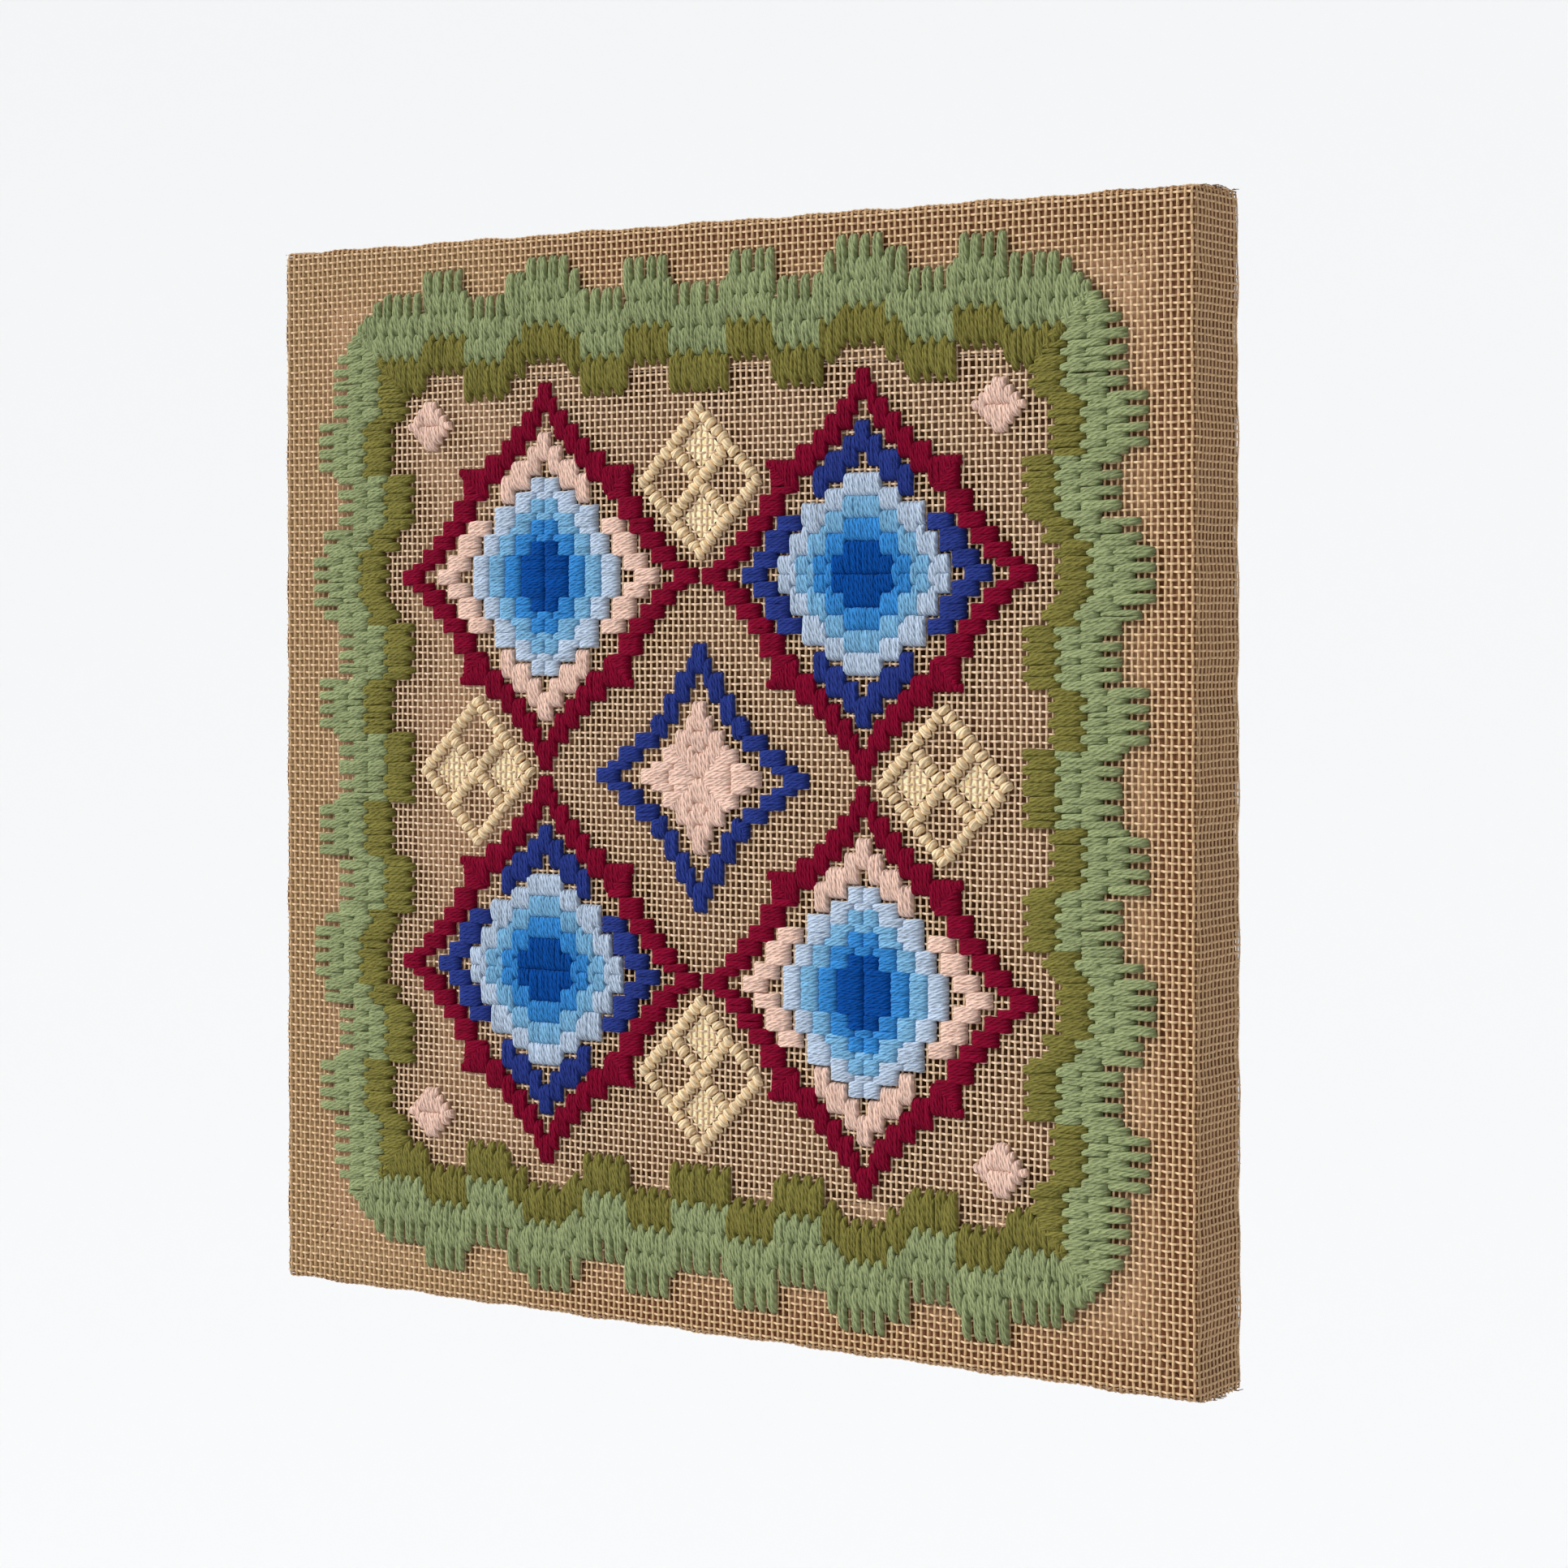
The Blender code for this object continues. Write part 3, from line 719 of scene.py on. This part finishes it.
def stitch_points(ends, width, fullness, loose, strands):
    """Strands side by side between two ends: round across, rising like the root of 1 - t^4, a little wavy.

    ends are (stitches, 2, x and z) in metres from the panel's middle, width is the stitch's in the middle,
    fullness is the share of it left at the ends, and loose is how unevenly the strands lie.
    """
    place = np.tile(np.arange(strands) - (strands - 1) / 2, len(ends))
    ends = np.repeat(ends, strands, axis=0)
    ends = ends + rng.normal(0, loose * END_STRAY * PITCH, (len(place), 2, 2))
    count = len(ends)
    uneven = 1 + loose * rng.normal(0, 1, (2, count, 1, 1))
    start, run = ends[:, 0], ends[:, 1] - ends[:, 0]
    length = np.linalg.norm(run, axis=1)
    course = run / length[:, None]
    t = -np.cos(np.linspace(0, math.pi, STRAND_RINGS))[None, :, None]
    lane = np.linspace(0, math.pi, STRAND_LANES)[None, None, :]
    swell = np.sqrt(np.clip(1 - t ** 4, 0, 1))
    spread = width * (fullness + (1 - fullness) * (1 - np.abs(t) ** SHOULDER))
    half = spread * uneven[0] * (STRAND_HALF if strands > 1 else 0.5)
    beat, phase = rng.uniform((SLOW_BEAT, 0), (QUICK_BEAT, 2 * math.pi), (count, 2)).T[:, :, None, None]
    wave = np.sin(beat * t + phase) * (1 - t ** 4)
    bow = loose * rng.normal(0, 1, (count, 1, 1)) * (1 - t ** 2)
    bow = PITCH * (bow + STRAND_LEAN * t + STRAND_WAVE * wave)
    side = place[:, None, None] * STRAND_STEP * spread + bow - half * np.cos(lane)
    along = (t + 1) / 2 * length[:, None, None] + RUN_ON * PITCH * t
    top = STITCH_RISE * uneven[1] * (1 - OUTER_DROP * np.abs(place))[:, None, None]
    height = top * swell * np.sin(lane) ** ROUNDNESS - STITCH_DIP * t ** DIP_SHARPNESS
    x = start[:, 0, None, None] + course[:, 0, None, None] * along - course[:, 1, None, None] * side
    z = start[:, 1, None, None] + course[:, 1, None, None] * along + course[:, 0, None, None] * side
    points = np.stack(np.broadcast_arrays(x, FRONT - height, z + MIDDLE_Z), axis=-1)
    shift = np.repeat(rng.uniform(0, SHIFT_MM, (2, count // strands)), strands, axis=1)[:, :, None, None]
    uv = np.stack(np.broadcast_arrays(side * 1000 + shift[0], along * 1000 + shift[1]), axis=-1)
    return points, uv, np.broadcast_to(swell[..., 0], (count, STRAND_RINGS))


def tapestry_wool(name, colour):
    """Dyed tapestry wool: matt, softly hairy, plies rippling slantwise light and dark, with painted shade at
    the ends.
    """
    material, tree, shader = start_material("tapestry_wool_" + name, Roughness=0.95, IOR=1.3,
                                            Specular_IOR_Level=0.3)
    yarn = add_node(tree, "ShaderNodeUVMap", {"uv_map": "yarn"}).outputs["UV"]
    tone = add_node(tree, "ShaderNodeAttribute", {"attribute_name": "tone"}).outputs["Fac"]
    crown = add_node(tree, "ShaderNodeAttribute", {"attribute_name": "crown"}).outputs["Fac"]
    # Wool fibres are 0.03 mm thick, too fine to show, so they are drawn as ripples of about half a millimetre
    twist = add_node(tree, "ShaderNodeMapping",
                     {"vector_type": "TEXTURE", "Scale": WOOL_RIPPLE_MM, "Rotation": (0, 0, PLY_SLANT)},
                     {"Vector": yarn})
    ply = add_node(tree, "ShaderNodeTexWave", {"Scale": PLY_SCALE, "Distortion": 4.0, "Detail": 2.0,
                                               "Detail Scale": 3.0}, {"Vector": twist.outputs["Vector"]})
    fibre = add_node(tree, "ShaderNodeTexNoise", {"Scale": 1.0, "Detail": 3.0, "Roughness": 0.6},
                     {"Vector": twist.outputs["Vector"]})
    relief = add_node(tree, "ShaderNodeMix", {0: 0.4}, {2: fibre.outputs["Fac"], 3: ply.outputs["Fac"]})
    streak = add_node(tree, "ShaderNodeMapRange",
                      {"From Min": 0.2, "From Max": 0.8, "To Min": 0.68, "To Max": 1.32},
                      {"Value": relief.outputs[0]})
    # Painted shade: the wool darkens towards each stitch's ends, where it dives into the holes
    end_shade = add_node(tree, "ShaderNodeMapRange", {"From Max": 0.75, "To Min": 0.7, "To Max": 1.0},
                    {"Value": crown})
    depth = add_node(tree, "ShaderNodeMath", {"operation": "MULTIPLY"},
                     {0: streak.outputs["Result"], 1: end_shade.outputs["Result"]})
    dye_and_end_shade = add_node(tree, "ShaderNodeMath", {"operation": "MULTIPLY"}, {0: depth.outputs[0], 1: tone})
    shade = add_node(tree, "ShaderNodeVectorMath", {"operation": "SCALE", 0: linear(colour)[:3]},
                     {"Scale": dye_and_end_shade.outputs[0]})
    bump = add_node(tree, "ShaderNodeBump", {"Strength": 0.9, "Distance": 0.0005},
                    {"Height": relief.outputs[0]})
    tree.links.new(shade.outputs["Vector"], shader.inputs["Base Color"])
    tree.links.new(bump.outputs["Normal"], shader.inputs["Normal"])
    return material


def nodes_named(start):
    """The frame's nodes whose names start so."""
    return [name for name in sorted(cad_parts) if name.startswith(start)]


def work_yarn(name, colour, nodes, ends, width=1.02, fullness=0.94, loose=0.05, strands=STRANDS):
    """One colour's stitches as a piece that stands for its plain reliefs. width is in threads."""
    metres = ends * np.array([PITCH_X, PITCH_Z])
    points, uv, crown = stitch_points(metres, width * PITCH, fullness, loose, strands)
    tone = np.repeat(rng.normal(1.0, DYE_SPREAD, len(ends)), strands)
    tone = tone + rng.normal(0, DYE_SPREAD, len(points))
    piece = add_patches("stitched_" + name, points, uv, tone, crown, tapestry_wool(name, colour))
    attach(piece, "root")
    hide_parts(*nodes)
    return piece


work_yarn("olive", OLIVE, nodes_named("olive"), border_stitches("olive"), **BORDER_LAY)
work_yarn("sage", SAGE, nodes_named("sage"), border_stitches("sage"), **BORDER_LAY)

# Wool work: medallions
# Burgundy stars outlined in one stitch of four threads, navy and pink leaves in turn about, a navy star with
# a pink heart between them, and a pink sprig in each corner.
BURGUNDY = "7C0027"
NAVY = "26367E"
PINK = "E6C3B2"

pink_stitches = np.concatenate([
    count_stitches(leaf_ring & ~same_sign, star_up, MEDALLION_AT),
    count_stitches(heart, mid_up, 0),
    count_stitches(sprig, everywhere, SPRIG_AT),
])
navy_stitches = np.concatenate([
    count_stitches(leaf_ring & same_sign, star_up, MEDALLION_AT),
    count_stitches(centre_ring, mid_up, 0),
])
work_yarn("burgundy", BURGUNDY, nodes_named("burgundy"), count_stitches(star_ring, star_up, MEDALLION_AT))
work_yarn("navy", NAVY, nodes_named("navy"), navy_stitches)
work_yarn("pink", PINK, nodes_named("pink"), pink_stitches)

# Wool work: blooms
# Four shades of blue in bands of three threads, palest outside, round a deep middle. The stitches are laid
# one way all over each bloom, upright in two of them and level in the other two.
BLUES = (("ice_blue", "B4C3D6"), ("sky_blue", "77ABCE"), ("mid_blue", "3583C6"), ("deep_blue", "004694"))

for band, (name, colour) in enumerate(BLUES):
    innermost = band == len(BLUES) - 1
    cells = (bloom_depth > band * BLOOM_BAND) & ((bloom_depth <= (band + 1) * BLOOM_BAND) | innermost)
    work_yarn(name, colour, nodes_named(name), count_stitches(cells, same_sign, MEDALLION_AT))

# Gilt leaf
# A diamond of thin gilt leaf, pressed from behind into the canvas in two cells of each net. It is crinkled,
# and it shows as bright squares in the holes.
NET_AT = 41
NET_PITCH = 10
LEAF_REACH = 3.1
LEAF_POINTS = 19
LEAF_DEPTH = 0.0008
LEAF_CRINKLE = 0.00007
CRINKLES_X = 3100
CRINKLES_Z = 2700
# Painted reflection: the leaf's colours are near white, and pale glints are painted in patches of noise
LEAF_PAINTED_GLINT = "FFF4C8"
LEAF_DULL = "F0D696"


def gilt_leaf(name):
    """Gilt leaf on paper, partly metallic, coloured pale for painted reflection, with painted glints and
    deeper gold between.
    """
    material, tree, shader = start_material(name, Metallic=0.2, Roughness=0.4)
    yarn = add_node(tree, "ShaderNodeUVMap", {"uv_map": "yarn"}).outputs["UV"]
    painted_glint = add_node(tree, "ShaderNodeTexNoise", {"Scale": 0.7, "Detail": 3.0}, {"Vector": yarn})
    share = add_node(tree, "ShaderNodeMapRange", {"From Min": 0.40, "From Max": 0.52},
                     {"Value": painted_glint.outputs["Fac"]})
    foil = add_node(tree, "ShaderNodeMix",
                    {"data_type": "RGBA", 6: linear(LEAF_DULL), 7: linear(LEAF_PAINTED_GLINT)},
                    {0: share.outputs["Result"]})
    bump = add_node(tree, "ShaderNodeBump", {"Strength": 0.4, "Distance": 0.0002},
                    {"Height": painted_glint.outputs["Fac"]})
    tree.links.new(foil.outputs[2], shader.inputs["Base Color"])
    tree.links.new(bump.outputs["Normal"], shader.inputs["Normal"])
    return material


leaf_at = np.array([[out_x * out, out_z * out] for out_x, out_z in OUTWARDS
                    for out in (NET_AT - NET_PITCH / 2, NET_AT + NET_PITCH / 2)])[:, None, None, :]
leaf_u, leaf_v = np.meshgrid(*[np.linspace(-1, 1, LEAF_POINTS)] * 2, indexing="ij")
leaf_x = (leaf_at[..., 0] + LEAF_REACH / 2 * (leaf_u - leaf_v)) * PITCH_X
leaf_z = (leaf_at[..., 1] + LEAF_REACH / 2 * (leaf_u + leaf_v)) * PITCH_Z
leaf_y = FRONT + LEAF_DEPTH + LEAF_CRINKLE * np.sin(leaf_x * CRINKLES_X) * np.sin(leaf_z * CRINKLES_Z + 1.0)
leaf_points = np.stack([leaf_x, leaf_y, leaf_z + MIDDLE_Z], axis=-1)
leaf_uv = np.stack([leaf_x, leaf_z], axis=-1) * 1000
leaf = add_patches("gilt_leaf", leaf_points, leaf_uv, np.ones(len(leaf_x)), np.ones(leaf_x.shape[:2]),
                   gilt_leaf("gilt_leaf"))
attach(leaf, "root")

# Wool work: couched nets
# Beige yarn wrapped slantwise over itself in a rope, one wrap to each thread, laid in a net of four diamonds.
# The falling ropes skip the wrap that lies under each crossing.
NET_LINES = (-1, 0, 1)
WRAPS = 11
WRAP_LENGTH = 1.6
WRAP_WIDTH = 1.3
WRAP_FULLNESS = 0.65
WRAP_LOOSE = 0.06
WRAP_LEAN = 0.35
BEIGE = "EED4AC"

ends = []
for out_x, out_z in OUTWARDS:
    for slope in (1, -1):
        for line in NET_LINES:
            step = np.arange(WRAPS) - (WRAPS - 1) / 2
            if slope < 0:
                step = step[step % (NET_PITCH / 2) != 0]
            out = NET_AT + step + line * NET_PITCH / 2
            across = slope * (step - line * NET_PITCH / 2)
            middle = np.stack([out_x * out + out_z * across, out_z * out - out_x * across], axis=-1)
            course = np.array([out_x + out_z * slope, out_z - out_x * slope]) / math.sqrt(2)
            lean = np.array([-course[1], course[0]]) * math.cos(WRAP_LEAN) + course * math.sin(WRAP_LEAN)
            pair = [middle + lean * WRAP_LENGTH / 2 * end for end in (-1, 1)]
            ends.append(np.stack(pair, axis=1))
work_yarn("beige", BEIGE, nodes_named("trellis"), np.concatenate(ends), width=WRAP_WIDTH,
          fullness=WRAP_FULLNESS, loose=WRAP_LOOSE, strands=1)

# Stage
# A pale sheet swept from the floor up into a backdrop, a soft sun from the upper left, an even pale world,
# and the camera at the photograph's angle.
FLOOR_DROP = 2.80
SWEEP_HALF = 6.0
SWEEP_FRONT = -6.0
SWEEP_TURNS = 1.2
SWEEP_RADIUS = 0.9
SWEEP_TOP = 6.0
SWEEP_POINTS = 25
PAPER = "ECECEC"
SUN_FROM = (-0.62, -0.62, 0.48)
SUN_STRENGTH = 2.9
SUN_SPREAD = 32.0
SKY = "F7FAFD"
SKY_STRENGTH = 0.44
CAMERA_AT = (0.5489, -0.7677, 0.0469)
CAMERA_TURN = 34.19
CAMERA_ROLL = -0.00226
CAMERA_LENS = 80.5
CAMERA_SENSOR = 36.0
CAMERA_SHIFT = -0.1151


def swept_backdrop():
    """A floor, a quarter turn and a wall: a profile in y and z carried along x."""
    angle = np.linspace(0, math.pi / 2, SWEEP_POINTS)
    floor_z = MIDDLE_Z - SIDE / 2 - FLOOR_DROP
    turn_y = SWEEP_TURNS + SWEEP_RADIUS * np.sin(angle)
    turn_z = SWEEP_RADIUS * (1 - np.cos(angle))
    y = np.concatenate([[SWEEP_FRONT], turn_y, [SWEEP_TURNS + SWEEP_RADIUS]])
    z = floor_z + np.concatenate([[0.0], turn_z, [SWEEP_TOP]])
    profile = np.stack([y, z], axis=-1)
    corners = np.concatenate([np.insert(profile, 0, x, axis=1) for x in (-SWEEP_HALF, SWEEP_HALF)])
    first = np.arange(len(profile) - 1)
    faces = np.stack([first, first + len(profile), first + len(profile) + 1, first + 1], axis=-1)
    mesh = bpy.data.meshes.new("backdrop")
    mesh.from_pydata(corners.tolist(), [], faces.tolist())
    mesh.polygons.foreach_set("use_smooth", np.ones(len(faces), bool))
    mesh.update()
    material, _, _ = start_material("pale_paper", Base_Color=linear(PAPER), Roughness=0.9, IOR=1.2)
    mesh.materials.append(material)
    sheet = bpy.data.objects.new("backdrop", mesh)
    bpy.context.scene.collection.objects.link(sheet)
    return sheet


swept_backdrop()
sun = bpy.data.objects.new("sun", bpy.data.lights.new("sun", "SUN"))
sun.data.energy = SUN_STRENGTH
sun.data.angle = math.radians(SUN_SPREAD)
sun.matrix_world = (-Vector(SUN_FROM)).to_track_quat("-Z", "Y").to_matrix().to_4x4()
bpy.context.scene.collection.objects.link(sun)

world = bpy.data.worlds.new("studio")
world.use_nodes = True
world.node_tree.nodes["Background"].inputs["Color"].default_value = linear(SKY)
world.node_tree.nodes["Background"].inputs["Strength"].default_value = SKY_STRENGTH
bpy.context.scene.world = world
bpy.context.scene.view_settings.view_transform = "Standard"

camera = bpy.data.objects.new("camera", bpy.data.cameras.new("camera"))
camera.data.lens = CAMERA_LENS
camera.data.sensor_width = CAMERA_SENSOR
camera.data.shift_y = CAMERA_SHIFT
camera.matrix_world = (Matrix.Translation((CAMERA_AT[0], FRONT + CAMERA_AT[1], MIDDLE_Z + CAMERA_AT[2]))
                       @ Matrix.Rotation(math.radians(CAMERA_TURN), 4, "Z")
                       @ Matrix.Rotation(math.radians(90), 4, "X") @ Matrix.Rotation(CAMERA_ROLL, 4, "Z"))
bpy.context.scene.collection.objects.link(camera)
bpy.context.scene.camera = camera
